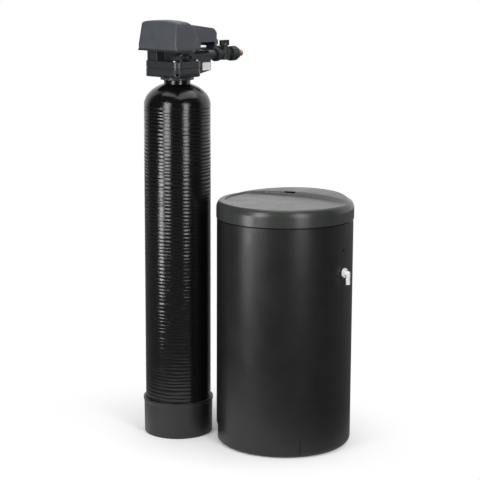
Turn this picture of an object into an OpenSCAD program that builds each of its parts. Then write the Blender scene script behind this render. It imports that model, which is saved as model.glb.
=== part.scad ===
// Water softener: a wound mineral tank with a control valve and bypass, and a separate brine tank.
// Millimetres. The floor is z = 0 and the mineral tank stands on the origin. The hood faces -Y,
// the house pipes leave towards +Y, and the brine tank stands to the right and a little behind.

/* [Mineral tank] */
// Outside diameter of the wound tank
tank_d = 231; // [200:1:280]
// Height from the floor to the top of the neck
tank_h = 1250; // [1050:1:1500]
// Thickness of the wound wall
tank_wall = 4.5; // [3:0.5:8]
// Height of each domed end
dome_h = 80; // [60:1:90]
// Outside diameter of the neck
neck_d = 92; // [84:1:104]
// Straight length of the neck
neck_len = 14; // [12:1:30]
// Bore of the neck
neck_bore = 64; // [60:1:70]

/* [Boot] */
// Height of the boot
boot_h = 128; // [110:1:160]
// Thickness of the boot's wall
boot_wall = 5.5; // [2.5:0.5:7]
// Thickness of the boot's floor
boot_floor = 6; // [4:0.5:12]
// How far the boot's top lip stands out
boot_lip = 2.2; // [1:0.1:4]
// Height of the boot's top lip
boot_lip_h = 9; // [5:0.5:14]
// How much narrower the boot is at the floor
boot_draft = 1; // [0:0.25:2]
// Radius of the flare under the lip
boot_flare = 14; // [8:1:24]

/* [Media and riser] */
// Top of the gravel above the floor
gravel_top = 110; // [105:1:160]
// Top of the resin above the floor
resin_top = 820; // [300:1:900]
// Outside diameter of the riser tube
riser_d = 26.7; // [22:0.1:30]
// Wall of the riser tube
riser_wall = 2.3; // [1.5:0.1:3.5]
// Diameter of the slotted baskets
basket_d = 54; // [46:1:58]
// Height of the bottom basket
basket_h = 60; // [45:1:75]
// Height of the top basket
top_basket_h = 36; // [24:1:50]
// Wall of the baskets
basket_wall = 2.5; // [1.5:0.1:4]
// Number of slots round each basket
basket_slots = 16; // [8:1:24]

/* [Neck collar] */
// Diameter of the collar under the valve
collar_d = 112; // [104:1:124]
// Height of the collar
collar_h = 10; // [9:0.5:18]
// Depth of the collar's threaded spigot in the neck
spigot_len = 25; // [18:1:34]
// Number of grip lugs round the collar
collar_lugs = 12; // [6:1:20]

/* [Valve body] */
// Width of the lower half
valve_w = 164; // [150:1:176]
// Depth of the lower half
valve_d = 124; // [114:1:136]
// How far the middle of the lower half lies in front of the tank's axis
valve_fore = 20; // [14:1:24]
// Height of the lower half
valve_low_h = 55; // [48:1:62]
// Height of the upper half
valve_up_h = 35; // [32:1:42]
// Radius of the upright edges
valve_edge_r = 24; // [18:1:28]
// Radius of the lower edges
valve_foot_r = 17; // [8:0.5:20]
// Width of the parting groove round the lower half
groove_w = 3; // [1:0.5:5]
// Depth of the parting groove
groove_depth = 2; // [1:0.25:3]

/* [Piston] */
// Bore that the seal stack sits in
stack_bore = 40; // [36:0.5:44]
// Diameter of the piston
piston_d = 26; // [20:0.5:28]
// Stroke of the piston
piston_stroke = 20; // [16:0.5:22]
// Diameter of the piston's rod
rod_d = 8; // [6:0.5:9]
// Thickness of one seal ring
seal_t = 4; // [3:0.25:5]
// Thickness of one spacer ring
spacer_t = 8; // [7:0.25:9]
// Depth of the end plug in the bore
plug_depth = 7; // [5:0.5:9]

/* [Drive] */
// Tooth module of all the gears
gear_m = 1; // [0.9:0.05:1.1]
// Teeth on the drive gear
drive_teeth = 56; // [48:1:60]
// Teeth on the motor pinion
motor_teeth = 14; // [13:1:18]
// Teeth on the pinion that lifts the rod
rack_teeth = 18; // [16:1:20]
// Face width of the gears
gear_t = 6; // [4:0.5:8]
// Diameter of the drive shaft
shaft_d = 6; // [5:0.5:8]
// Height of the drive shaft above the chassis plate
shaft_rise = 36; // [33:0.5:40]
// Direction from the drive shaft to the motor, above level
motor_lean = 25; // [15:1:35]
// Diameter of the motor
motor_d = 40; // [34:1:42]
// Length of the motor
motor_len = 31; // [24:1:33]
// Diameter of the clock dial
dial_d = 48; // [40:1:50]
// Diameter of the regeneration knob
knob_d = 26; // [20:1:30]

/* [Chassis] */
// Thickness of the chassis plate
plate_t = 5; // [4:0.5:7]
// How far the plate's lip shows round the hood
plate_lip = 2; // [1:0.25:4]
// Thickness of the upright motor wall
wall_t = 3; // [2:0.5:4]

/* [Hood] */
// Width of the hood at its lower edge
hood_w = 185; // [178:1:194]
// Height of the hood's front part
hood_h = 98; // [92:1:106]
// Reach of the hood in front of the tank's axis
hood_fore = 95.5; // [92:0.5:104]
// Reach of the hood's front part behind the axis
hood_mid = 16; // [14:0.5:22]
// Reach of the hood's rear part behind the axis
hood_aft = 126; // [118:1:134]
// Width of the rear part at its lower edge
hood_rear_w = 164; // [156:1:172]
// How far each side leans in over the height
hood_draft = 10.5; // [8:0.5:13]
// Wall of the hood
hood_wall = 2.5; // [2:0.25:3.5]
// Height of the notch over the pipes
notch_h = 22; // [14:1:30]

/* [Pipes and bypass] */
// Distance between the two pipes
pipe_gap = 54; // [52:0.5:60]
// Outside diameter of the valve's pipe stubs
pipe_d = 32; // [28:0.5:34]
// Water way through stubs and bypass
pipe_bore = 20; // [16:0.5:22]
// Height of the pipes above the seam of the valve body
pipe_rise = 14; // [11:0.5:17]
// Reach of the pipe stubs behind the axis
pipe_reach = 166; // [160:0.5:176]
// Outside diameter of the union nuts
union_d = 48; // [46:0.5:50]
// Outside diameter of the bypass barrels
barrel_d = 39; // [37:0.5:42]
// Height of the barrels
barrel_h = 46; // [44:0.5:54]
// Distance from the stub's end to the barrel's axis
barrel_back = 43; // [36:0.5:48]
// Diameter of the turning rotor
rotor_d = 28; // [26:0.5:30]
// Length of the bar on a handle
handle_len = 42; // [36:0.5:46]
// Thickness of the bar on a handle
handle_w = 13; // [10:0.5:16]
// Height of the bar on a handle
handle_h = 19; // [14:0.5:24]
// Outside diameter of the copper tubes
tube_d = 22.2; // [20:0.1:23]
// Wall of the copper tubes
tube_wall = 1.1; // [0.8:0.1:1.6]
// Length of copper that shows
tube_out = 17; // [12:1:60]
// Outside diameter of the tube nuts
tube_nut_d = 52; // [46:0.5:56]
// Length of the tube nuts
nut_len = 42; // [36:1:56]

/* [Brine tank] */
// Outside diameter of the brine tank
brine_d = 468; // [430:1:500]
// Height of the brine tank's rim
brine_h = 826; // [780:1:1000]
// Wall of the brine tank
brine_wall = 5; // [4:0.5:7]
// Floor of the brine tank
brine_floor = 6; // [4:0.5:10]
// Free space between the two tanks
tank_gap = 24.3; // [10:0.1:80]
// Direction from the mineral tank to the brine tank, from +X
brine_bearing = 27.6; // [0:0.1:60]
// Height of the recessed band round the foot
band_h = 65; // [50:1:90]
// Depth of the recessed band
band_depth = 4; // [2:0.5:6]
// Direction in which the recessed band ends on the right
band_end = -35; // [-60:1:0]

/* [Brine lid] */
// Depth of the lid's skirt
lid_skirt = 32; // [24:1:44]
// Wall of the lid
lid_wall = 3.5; // [2.5:0.25:4.5]
// Height from the rim to the lid's front panel
lid_rise = 11; // [10:0.5:15]
// How far the rear of the lid stands above its rim
lid_step = 24; // [16:0.5:30]
// How steeply the rear of the lid falls towards the front
lid_fall = 7; // [5:0.25:8]
// Distance behind the tank's axis where that fall reaches the rim
lid_fall_y = 5; // [-10:1:30]
// Width of the flat rim round the front panel
lid_rim = 14; // [10:1:20]
// Distance from the tank's axis to the step
lid_step_back = 112; // [90:1:125]
// Radius of the step's curve, seen from above
lid_step_r = 379; // [350:1:800]
// How far the middle of that curve lies to the right
lid_step_x = 36; // [0:1:60]

/* [Brine well] */
// Outside diameter of the brine well
well_d = 104; // [98:1:112]
// Wall of the brine well
well_wall = 3; // [2:0.25:4]
// Gap from the tank's rim down to the top of the well
well_drop = 26; // [18:1:60]
// Height of the salt grid
grid_top = 158; // [120:1:200]
// Thickness of the salt grid
grid_t = 8; // [6:0.5:12]
// Spacing of the holes in the grid
grid_pitch = 38; // [32:1:50]
// Diameter of the holes in the grid
grid_hole = 9; // [6:0.5:12]
// Diameter of the float
float_d = 44; // [36:1:46]
// Length of the float
float_len = 80; // [60:1:100]
// Travel of the float's rod
float_travel = 15; // [8:0.5:20]
// Diameter of the pick-up tube
pickup_d = 12; // [10:0.5:14]

/* [Ports of the brine tank] */
// Direction of the ports, from +X
port_bearing = 8; // [0:1:20]
// Height of the hole for the brine line
line_z = 698; // [660:1:740]
// Diameter of the hole for the brine line
line_d = 10; // [8:0.5:12]
// Height of the overflow elbow
over_z = 621.5; // [560:0.5:640]
// Outside diameter of the elbow's pipe
elbow_d = 15; // [12:0.5:17]
// Length of the elbow's leg below its axis
elbow_leg = 38; // [28:1:48]
// How far the leg stands out from the wall
elbow_out = 18; // [17:0.5:24]
// Diameter of the elbow's flange
flange_d = 33; // [28:0.5:36]

/* [Fits] */
// Gap between a cover that lifts off and its seat
seat_gap = 0.3; // [0.2:0.05:0.5]
// Radial clearance of a turning or sliding fit
slip = 0.05; // [0.03:0.01:0.08]
// Radial clearance of a piece fixed in a hole
snug = 0.1; // [0.05:0.05:0.2]
// Radial clearance of the piston in its seals
free = 0.35; // [0.25:0.05:0.5]
// Play on each flank of a gear tooth
tooth_play = 0.1; // [0.06:0.01:0.16]

/* [Hidden] */
$fn = 64;
e = 1;

black = "#1a1b1c";
charcoal = "#4a4d51";
graphite = "#3c3f42";
white = "#f2f3f2";
steel = "#b9bcc0";
rubber = "#161616";
copper = "#c98f6d";
natural = "#d8d4c4";

// Mineral tank
tank_r = tank_d / 2;
neck_r = neck_d / 2;
boot_in = tank_r + seat_gap;
boot_r = boot_in + boot_wall;
tank_z0 = boot_floor + snug;
dome_top_z = tank_h - neck_len - dome_h * sqrt(1 - pow(neck_r / tank_r, 2));
cavity_r = tank_r - tank_wall;
cavity_b = dome_h - tank_wall;
cavity_z0 = tank_z0 + tank_wall;
cavity_z1 = tank_z0 + dome_h;
riser_r = riser_d / 2;
basket_r = basket_d / 2;
basket_rest = 0.5;
basket_z = cavity_z0 + cavity_b * (1 - sqrt(1 - pow(basket_r / cavity_r, 2))) + basket_rest;
riser_z0 = basket_z + basket_h - 25;

// Valve: seam is the plane where the two halves of the body meet
valve_z = tank_h + collar_h;
seam_z = valve_z + valve_low_h;
valve_top = seam_z + valve_up_h;
valve_front = -valve_fore - valve_d / 2;
valve_back = -valve_fore + valve_d / 2;
valve_side = valve_w / 2;
seal_count = 5;
stack_h = seal_count * seal_t + (seal_count - 1) * spacer_t;
stack_z = valve_top - plug_depth - stack_h;
piston_z = stack_z + 2;
piston_len = stack_h - piston_stroke - 4;
pilot_h = 11;
groove_z = valve_z + 30;
riser_z1 = valve_z + pilot_h - 1;
column_w = 46;
column_in = 10;
core_w = 104;
core_x = 6;
core_front = -36;
core_back = 24;
core_side = core_x + core_w / 2;
bore_start = core_back - 10;
housing_end = pipe_reach - 46;
screw_spots = [[56, -70], [66, 28], [0, 30]];
screw_len = 17;
injector_x = 30;
injector_y = -48;
injector_r = 11.5;
injector_z = seam_z + injector_r + 0.5;
injector_bore = 6;
injector_screw_at = 8.7;
drain_y = -15;
drain_z = seam_z + 13;
corner_x = valve_side - valve_edge_r;
corner_y = valve_front + valve_edge_r;
brine_z = valve_z + 14;
port_out = 3;
port_bore = 8;

// Pipes and bypass
pipe_x = pipe_gap / 2;
pipe_z = seam_z + pipe_rise;
pipe_r = pipe_d / 2;
union_r = union_d / 2;
spigot_r = pipe_r + 4;
union_wall_y = pipe_reach - 10;
seal_gap = 2;
bypass_y = pipe_reach + seal_gap;
barrel_y = pipe_reach + barrel_back;
bypass_end = barrel_y + barrel_back - 7;
barrel_z = pipe_z - barrel_h / 2 + 3;
barrel_top = barrel_z + barrel_h;
rotor_r = rotor_d / 2;
rotor_z = barrel_z + 4;
retainer_t = 4;
rotor_top = barrel_top - retainer_t;
stem_r = 6.5;
groove_zs = [rotor_z + 3, rotor_top - 7];
handle_z = barrel_top + seat_gap;
nut_y = bypass_end - 10;
tube_y = bypass_end + seal_gap;
tube_nut_r = min(tube_nut_d, pipe_gap - 1.6) / 2;
nut_end = nut_y + nut_len;
bead_t = 2;
tube_end = nut_end + bead_t + tube_out;

// Chassis, drive and hood
plate_z = valve_top;
plate_top = plate_z + plate_t;
rack_pitch_r = gear_m * rack_teeth / 2;
rack_x = rod_d / 2 + 1;
shaft_x = rack_x + rack_pitch_r;
shaft_z = plate_top + shaft_rise;
shaft_r = shaft_d / 2;
press = 25;
gear_reach = gear_m * (drive_teeth + motor_teeth) / 2;
motor_x = shaft_x + gear_reach * cos(motor_lean);
motor_z = shaft_z + gear_reach * sin(motor_lean);
motor_ears = [for (s = [-1, 1]) s * (motor_d / 2 + 4) * [cos(80), sin(80)]];
chassis_spots = [[-62, -50], [-62, 6], [36, -16], [36, 8]];
wall_y = -28;
wall_x = -66;
wall_w = 136;
tail_w = 80;
tail_end = hood_aft - 8;
gear_y = wall_y - 3;
bracket_y = 11;
rack_z0 = shaft_z - 26;
rack_z1 = shaft_z + 18;
rack_depth = 8;
dial_x = -45;
dial_z = plate_top + 43;
case_front = wall_y - 34;
hood_z = plate_top + seat_gap;
latch_y = -12;
latch_r = 10;
skirt_drop = hood_z - pipe_z - pipe_r - 2;
cord_gap = 20;
skirt_end = hood_rear_w / 2 - 24;

// Brine tank
brine_r = brine_d / 2;
rim_r = brine_r - 3;
lid_in = rim_r + 0.6;
lid_r = lid_in + lid_wall + 1;
lid_z = brine_h + seat_gap;
lid_panel_z = brine_h + lid_rise;
lid_rim_z = lid_panel_z + 2;
lid_shoulder = 15;
brine_range = boot_r + boot_lip + lid_r + tank_gap;
brine_in = brine_r - brine_wall;
well_r = well_d / 2;
foot_r = 22;
foot_in_r = foot_r - 6;
well_at = brine_in - band_depth - foot_in_r - 1 - well_r;
well_top = brine_h - well_drop;
tube_at = well_at + 16;
rod_at = well_at - 18;
float_rod_r = 2.5;
valve_cage_z = line_z - 40;
valve_cage_h = 56;
ear_z = valve_cage_z + 10;
ear_t = 8;
float_z = 250;
clip_t = 5;
check_h = 54;
ball_z = brine_floor + 16;
ball_r = 8;
elbow_r = elbow_d / 2;
gasket_t = 2;
flange_t = 6;

function polar(r, a) = [r * cos(a), r * sin(a)];
function arc(c, r, a0, a1, n = 10) = [for (i = [0:n]) c + polar(r, a0 + (a1 - a0) * i / n)];
// Quarter of an ellipse from its side (angle 0) to its top (angle 90), or any part of it
function dome(a, b, t0, t1, n = 16) =
    [for (i = [0:n]) let (t = t0 + (t1 - t0) * i / n) [a * cos(t), b * sin(t)]];
function lift(points, z) = [for (p = points) p + [0, z]];
// Half angle of an involute tooth at radius r, for n teeth
function roll(r, base) = let (a = sqrt(max(0, pow(r / base, 2) - 1))) a * 180 / PI - atan(a);
function half_tooth(r, n) = let (p = gear_m * n / 2, base = p * cos(press))
    90 / n - tooth_play / p * 180 / PI + roll(p, base) - roll(r, base);
function tooth_radii(n) = let (p = gear_m * n / 2, low = p * cos(press), tip = p + 0.9 * gear_m)
    concat([p - 1.25 * gear_m], [for (i = [0:4]) max(low, p - 1.1 * gear_m) * (1 - i / 4) + tip * i / 4]);

module rounded(w, d, r) {
    square([w - 2 * r, d], center = true);
    square([w, d - 2 * r], center = true);
    for (x = [-1, 1], y = [-1, 1]) translate([x * (w / 2 - r), y * (d / 2 - r)]) circle(r = r);
}

// Block with round upright edges and round lower edges, standing on z = 0
module footed_block(w, d, h, edge, foot) {
    intersection() {
        linear_extrude(h) rounded(w, d, edge);
        translate([0, d, 0]) rotate([90, 0, 0]) linear_extrude(2 * d)
            translate([0, h]) rounded(w, 2 * h, foot);
        translate([-w, 0, 0]) rotate([90, 0, 90]) linear_extrude(2 * w)
            translate([0, h]) rounded(d, 2 * h, foot);
    }
}

module ring(outer, inner, h) {
    difference() {
        cylinder(r = outer, h = h);
        translate([0, 0, -e]) cylinder(r = inner, h = h + 2 * e);
    }
}

module o_ring(r, section) rotate_extrude() translate([r, 0]) circle(r = section, $fn = 24);

// Lays what is built along +Z so that it runs along +X or +Y
module along_x() rotate([0, 90, 0]) children();
module along_y() rotate([-90, 0, 0]) children();

module gear_face(n, bearing) {
    radii = tooth_radii(n);
    polygon([for (i = [0:n - 1], side = [-1, 1], k = [0:len(radii) - 1])
        let (r = radii[side < 0 ? k : len(radii) - 1 - k])
        polar(r, bearing + 360 / n * i + side * half_tooth(r, n))]);
}

// Gear in the X-Z plane: its teeth run from y = 0 towards +Y
module upright_gear(n, bearing, bore) {
    translate([0, gear_t, 0]) rotate([90, 0, 0]) linear_extrude(gear_t) difference() {
        gear_face(n, bearing);
        circle(r = bore);
    }
}

// Screw with a round head, its seat at z = 0 and its shank downwards
module screw(head_r, shank_r, len) {
    difference() {
        union() {
            cylinder(r = head_r, h = head_r * 0.7);
            translate([0, 0, -len]) cylinder(r = shank_r, h = len + 0.5);
        }
        translate([0, 0, head_r * 0.7 - 1.2]) cylinder(r = head_r * 0.5, h = 2, $fn = 6);
    }
}

module pair_x(x) for (s = [-1, 1]) translate([s * x, 0, 0]) children();

module at_brine() {
    translate([brine_range * cos(brine_bearing), brine_range * sin(brine_bearing), 0]) children();
}

module at_port(z) at_brine() rotate([0, 0, port_bearing]) translate([0, 0, z]) children();

// Mineral tank, its boot and what it holds

module tank_boot() {
    foot = boot_r - boot_draft - 4;
    turn = acos(1 - boot_lip / boot_flare);
    flare_z = boot_h - boot_lip_h - boot_flare * sin(turn);
    color(black) rotate_extrude() polygon(concat(
        [[0, 0], [foot, 0]],
        arc([foot, 4], 4, -90, 0, 5),
        arc([boot_r + boot_flare, flare_z], boot_flare, 180, 180 - turn, 5),
        arc([boot_r + boot_lip - 1.5, boot_h - 1.5], 1.5, 0, 90, 4),
        [[boot_in, boot_h], [boot_in, boot_floor], [0, boot_floor]]));
}

module mineral_tank() {
    neck_a = acos(neck_r / tank_r);
    bore_a = acos(neck_bore / 2 / cavity_r);
    color(black) rotate_extrude($fn = 96) polygon(concat(
        lift(dome(tank_r, -dome_h, 90, 0), tank_z0 + dome_h),
        lift(dome(tank_r, dome_h, 0, neck_a), dome_top_z),
        [[neck_r, tank_h], [neck_bore / 2, tank_h]],
        lift(dome(cavity_r, cavity_b, bore_a, 0), dome_top_z),
        lift(dome(cavity_r, -cavity_b, 0, 90), tank_z0 + dome_h)));
}

module gravel_bed() {
    r = cavity_r - snug;
    color("#8d8474") difference() {
        rotate_extrude() polygon(concat(
            lift(dome(r, -cavity_b + snug, 90, 0), cavity_z1),
            [[r, gravel_top], [0, gravel_top]]));
        translate([0, 0, -e]) cylinder(r = basket_r + snug, h = basket_z + basket_h + snug + e);
        cylinder(r = riser_r + snug, h = gravel_top + e);
    }
}

module resin_bed() {
    color("#b5702c") translate([0, 0, gravel_top])
        ring(cavity_r - snug, riser_r + snug, resin_top - gravel_top);
}

module riser_tube() {
    color(natural) translate([0, 0, riser_z0])
        ring(riser_r, riser_r - riser_wall, riser_z1 - riser_z0);
}

// Slotted basket round the riser
module basket(h, floor_hole) {
    difference() {
        cylinder(r = basket_r, h = h);
        translate([0, 0, basket_wall]) cylinder(r = basket_r - basket_wall, h = h - 2 * basket_wall);
        translate([0, 0, floor_hole ? -e : h - basket_wall - e])
            cylinder(r = riser_r + snug, h = h + 2 * e);
        for (i = [0:basket_slots - 1]) rotate([0, 0, 360 / basket_slots * i])
            translate([basket_r - basket_wall - e, -0.75, 2 * basket_wall])
                cube([basket_wall + 2 * e, 1.5, h - 4 * basket_wall]);
    }
}

module bottom_distributor() {
    color(natural) translate([0, 0, basket_z]) basket(basket_h, false);
}

module top_distributor() {
    color(natural) translate([0, 0, tank_h - spigot_len - top_basket_h]) basket(top_basket_h, true);
}

module neck_collar() {
    r = collar_d / 2;
    color(graphite) translate([0, 0, tank_h]) difference() {
        union() {
            cylinder(r = r, h = collar_h);
            translate([0, 0, -spigot_len]) cylinder(r = neck_bore / 2 - snug, h = spigot_len + e);
            for (i = [0:collar_lugs - 1]) rotate([0, 0, 360 / collar_lugs * i])
                translate([r - 1, 0, 1]) cylinder(r = 4, h = collar_h - 4, $fn = 24);
        }
        translate([0, 0, -spigot_len - e]) cylinder(r = riser_r + 7, h = spigot_len + collar_h + 2 * e);
        translate([0, 0, -e]) ring(neck_r - 4.6, neck_r - 10.4, 5 + e);
    }
}

module neck_seal() color(rubber) translate([0, 0, tank_h + 2.5]) o_ring(neck_r - 7.5, 2.5 - snug);

module riser_seal() color(rubber) translate([0, 0, valve_z + 5]) o_ring(riser_r + 2, 1.8);

// Valve body and what goes into it

module valve_halves() {
    translate([0, -valve_fore, valve_z])
        footed_block(valve_w, valve_d, valve_low_h, valve_edge_r, valve_foot_r);
    translate([-valve_side + column_in, valve_front + column_in, seam_z - e])
        cube([column_w, valve_d - 2 * column_in, valve_up_h + e]);
    translate([core_x - core_w / 2, core_front, seam_z - e])
        cube([core_w, core_back - core_front, valve_up_h + e]);
}

module valve_pipes() {
    pair_x(pipe_x) translate([0, core_back - 20, pipe_z]) along_y() {
        cylinder(r = pipe_r, h = pipe_reach - core_back + 20);
        translate([0, 0, pipe_reach - core_back + 14]) cylinder(r = spigot_r, h = 6);
        translate([0, 0, 18]) cylinder(r = pipe_r + 3, h = 8);
    }
    rotate([90, 0, 90]) translate([0, 0, -pipe_x - pipe_r - 3]) linear_extrude(pipe_gap + pipe_d + 6)
        polygon([[valve_back - 6, valve_z + 6], [valve_back + 12, valve_z + 6],
            [housing_end, valve_z + 18], [housing_end, pipe_z - 6], [valve_back - 6, pipe_z]]);
}

module injector_housing() {
    translate([injector_x, injector_y, injector_z]) along_x()
        cylinder(r = injector_r, h = core_side - injector_x);
    translate([injector_x, injector_y - injector_r, seam_z - e])
        cube([core_side - injector_x, core_front - injector_y + injector_r + e, injector_z - seam_z + e]);
}

// The brine port looks out of the rounded front corner, half way between front and side
module at_corner(out) {
    translate([corner_x, corner_y, brine_z]) rotate([0, 0, -45]) translate([out, 0, 0]) along_x() children();
}

module valve_body() {
    color(graphite) difference() {
        union() {
            valve_halves();
            valve_pipes();
            injector_housing();
            translate([core_side - e, drain_y, drain_z]) along_x() cylinder(r = 12, h = port_out + e);
            at_corner(0) cylinder(r = 13, h = valve_edge_r + port_out);
        }
        translate([0, -valve_fore, groove_z]) linear_extrude(groove_w) difference() {
            square([2 * valve_w, 2 * valve_d], center = true);
            rounded(valve_w - 2 * groove_depth, valve_d - 2 * groove_depth, valve_edge_r - groove_depth);
            translate([-valve_w, valve_d / 2 - 8]) square([2 * valve_w, valve_d]);
        }
        translate([0, 0, valve_z - e]) cylinder(r = riser_r + snug, h = pilot_h + e);
        translate([0, 0, valve_z + 3.1]) cylinder(r = riser_r + 3.9, h = 3.8);
        translate([0, 0, stack_z]) cylinder(r = stack_bore / 2, h = valve_top - stack_z + e);
        pair_x(pipe_x) translate([0, bore_start, pipe_z]) along_y()
            cylinder(r = pipe_bore / 2, h = pipe_reach - bore_start + e);
        translate([injector_x + 4, injector_y, injector_z]) along_x()
            cylinder(r = injector_bore, h = core_side - injector_x - 4 + e);
        translate([core_side - 14, drain_y, drain_z]) along_x()
            cylinder(r = port_bore, h = 14 + port_out + e);
        at_corner(valve_edge_r - 14) cylinder(r = port_bore, h = 14 + port_out + e);
        for (p = screw_spots) translate([p[0], p[1], seam_z - screw_len - 1])
            cylinder(r = 2.5 + snug, h = screw_len + 1 + e);
        for (s = [-1, 1]) translate([core_side - 12, injector_y, injector_z + s * injector_screw_at])
            along_x() cylinder(r = 1.5 + snug, h = 12 + e);
        for (p = chassis_spots) translate([p[0], p[1], valve_top - 12]) cylinder(r = 2 + snug, h = 12 + e);
    }
}

module body_screws() {
    color(steel) for (p = screw_spots) translate([p[0], p[1], seam_z]) screw(5.5, 2.5, screw_len);
}

module seal_rings() {
    color(rubber) for (i = [0:seal_count - 1]) translate([0, 0, stack_z + i * (seal_t + spacer_t)])
        ring(stack_bore / 2 - snug, piston_d / 2 + free, seal_t);
}

module seal_spacers() {
    color(natural) for (i = [0:seal_count - 2])
        translate([0, 0, stack_z + seal_t + i * (seal_t + spacer_t)]) difference() {
            ring(stack_bore / 2 - snug, piston_d / 2 + 2, spacer_t);
            for (a = [0, 60, 120]) rotate([0, 0, a])
                translate([-stack_bore, -2.5, 2]) cube([2 * stack_bore, 5, spacer_t - 4]);
        }
}

module end_plug() {
    color(natural) difference() {
        union() {
            translate([0, 0, valve_top - plug_depth]) cylinder(r = stack_bore / 2 - snug, h = plug_depth);
            translate([0, 0, valve_top]) cylinder(r = stack_bore / 2 + 3, h = 3);
        }
        translate([0, 0, valve_top - plug_depth - e]) cylinder(r = rod_d / 2 + slip, h = plug_depth + 5);
    }
}

module piston() {
    r = piston_d / 2;
    color("#c9a13c") translate([0, 0, piston_z]) difference() {
        cylinder(r = r, h = piston_len);
        translate([0, 0, piston_len * 0.35]) ring(r + e, r - 3, piston_len * 0.3);
        translate([0, 0, piston_len - 8]) cylinder(r = rod_d / 2 + snug, h = 8 + e);
    }
}

module piston_rod() {
    pitch = PI * gear_m;
    rack_half = pitch / 4 - tooth_play;
    tip = rack_x + 0.9 * gear_m;
    root = rack_x - 1.25 * gear_m;
    tilt = tan(press);
    below = floor((shaft_z - rack_z0) / pitch - 1);
    above = floor((rack_z1 - shaft_z) / pitch - 1);
    color(steel) {
        translate([0, 0, piston_z + piston_len - 8])
            cylinder(r = rod_d / 2, h = rack_z0 - piston_z - piston_len + 8);
        translate([0, 0, rack_z0 - e]) cylinder(r = rod_d / 2 - 0.5, h = 2 * e);
        translate([0, rack_depth / 2, 0]) rotate([90, 0, 0]) linear_extrude(rack_depth) polygon(concat(
            [[-rod_d / 2, rack_z1], [-rod_d / 2, rack_z0], [root, rack_z0]],
            [for (i = [-below:above - 1]) let (z = shaft_z + (i + 0.5) * pitch) each [
                [root, z - rack_half - 1.25 * gear_m * tilt], [tip, z - rack_half + 0.9 * gear_m * tilt],
                [tip, z + rack_half - 0.9 * gear_m * tilt], [root, z + rack_half + 1.25 * gear_m * tilt]]],
            [[root, rack_z1]]));
    }
}

module injector_cap() {
    color(graphite) translate([core_side, injector_y, injector_z]) along_x() difference() {
        union() {
            cylinder(r = injector_r, h = 5);
            cylinder(r = injector_bore, h = 8);
        }
        for (s = [-1, 1]) translate([s * injector_screw_at, 0, -e]) cylinder(r = 1.5 + snug, h = 10);
    }
}

module injector_screws() {
    color(steel) for (s = [-1, 1]) translate([core_side + 5, injector_y, injector_z + s * injector_screw_at])
        along_x() screw(2.4, 1.5, 14);
}

module injector_throat() {
    color(white) translate([core_side - 20, injector_y, injector_z]) along_x() difference() {
        cylinder(r = injector_bore - snug, h = 12);
        translate([0, 0, -e]) cylinder(r1 = 1.2, r2 = 4, h = 14);
    }
}

module injector_screen() {
    color(white) translate([core_side - 8, injector_y, injector_z]) along_x() difference() {
        ring(injector_bore - snug, injector_bore - 1.5, 8);
        for (a = [0, 60, 120]) rotate([0, 0, a])
            translate([-injector_bore, -1.5, 2]) cube([2 * injector_bore, 3, 4]);
    }
}

// Push-in tube fitting: stem in the body, round collar outside, open bore for the tube
module tube_fitting(collar_r, tube_r, len) {
    difference() {
        union() {
            translate([0, 0, -12]) cylinder(r = port_bore - snug, h = 12);
            cylinder(r = collar_r, h = len * 0.6);
            for (i = [0:11]) rotate([0, 0, 30 * i]) translate([collar_r - 0.4, 0, 1])
                cylinder(r = 1.2, h = len * 0.6 - 2, $fn = 16);
            cylinder(r = collar_r - 3, h = len);
        }
        translate([0, 0, len - 15]) cylinder(r = tube_r, h = 15 + e);
        translate([0, 0, -12 - e]) cylinder(r = tube_r - 1.5, h = len + 12);
    }
}

module brine_line_fitting() {
    color(graphite) at_corner(valve_edge_r + port_out) tube_fitting(11.5, 4.8, 16);
}

module drain_fitting() {
    color(graphite) translate([core_side + port_out, drain_y, drain_z]) along_x() tube_fitting(11, 6.4, 18);
}

// Chassis, drive and timer under the hood

module drive_chassis() {
    color(graphite) difference() {
        union() {
            translate([0, 0, plate_z]) linear_extrude(plate_t) difference() {
                translate([0, (hood_mid - hood_fore - plate_lip) / 2])
                    rounded(hood_w + 2 * plate_lip, hood_fore + hood_mid + plate_lip, 6);
                pair_x(hood_w / 2 + plate_lip) translate([0, latch_y])
                    square([2 * (plate_lip + hood_wall + 1.5), 2 * latch_r + 4], center = true);
            }
            translate([-tail_w / 2, hood_mid - e, plate_z]) cube([tail_w, tail_end - hood_mid + e, plate_t]);
            translate([wall_x, wall_y, plate_top - e])
                cube([wall_w, wall_t, motor_z + motor_d / 2 + 10 - plate_top + e]);
            translate([shaft_x - 9, bracket_y, plate_top - e]) cube([18, wall_t, shaft_rise + 9 + e]);
        }
        translate([0, 0, plate_z - e]) cylinder(r = stack_bore / 2 + 4, h = plate_t + 2 * e);
        translate([shaft_x, wall_y - e, shaft_z]) along_y()
            cylinder(r = shaft_r + slip, h = bracket_y - wall_y + wall_t + 2 * e);
        translate([motor_x, wall_y - e, motor_z]) along_y() cylinder(r = 6, h = wall_t + 2 * e);
        for (s = motor_ears) translate([motor_x + s[0], wall_y - e, motor_z + s[1]]) along_y()
            cylinder(r = 1.5 + snug, h = wall_t + 2 * e);
        for (p = chassis_spots) translate([p[0], p[1], plate_z - e])
            cylinder(r = 2 + snug, h = plate_t + 2 * e);
    }
}

module chassis_screws() {
    color(steel) for (p = chassis_spots) translate([p[0], p[1], plate_top]) screw(4, 2, plate_t + 11);
}

module drive_motor() {
    color(steel) translate([motor_x, wall_y + wall_t, motor_z]) along_y() difference() {
        union() {
            cylinder(r = motor_d / 2, h = motor_len);
            for (s = motor_ears) translate([s[0], -s[1], 0]) cylinder(r = 4.5, h = 2);
        }
        translate([0, 0, -e]) cylinder(r = 2 + slip, h = 8 + e);
        for (s = motor_ears) translate([s[0], -s[1], -e]) cylinder(r = 1.5 + snug, h = 4);
    }
}

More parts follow.
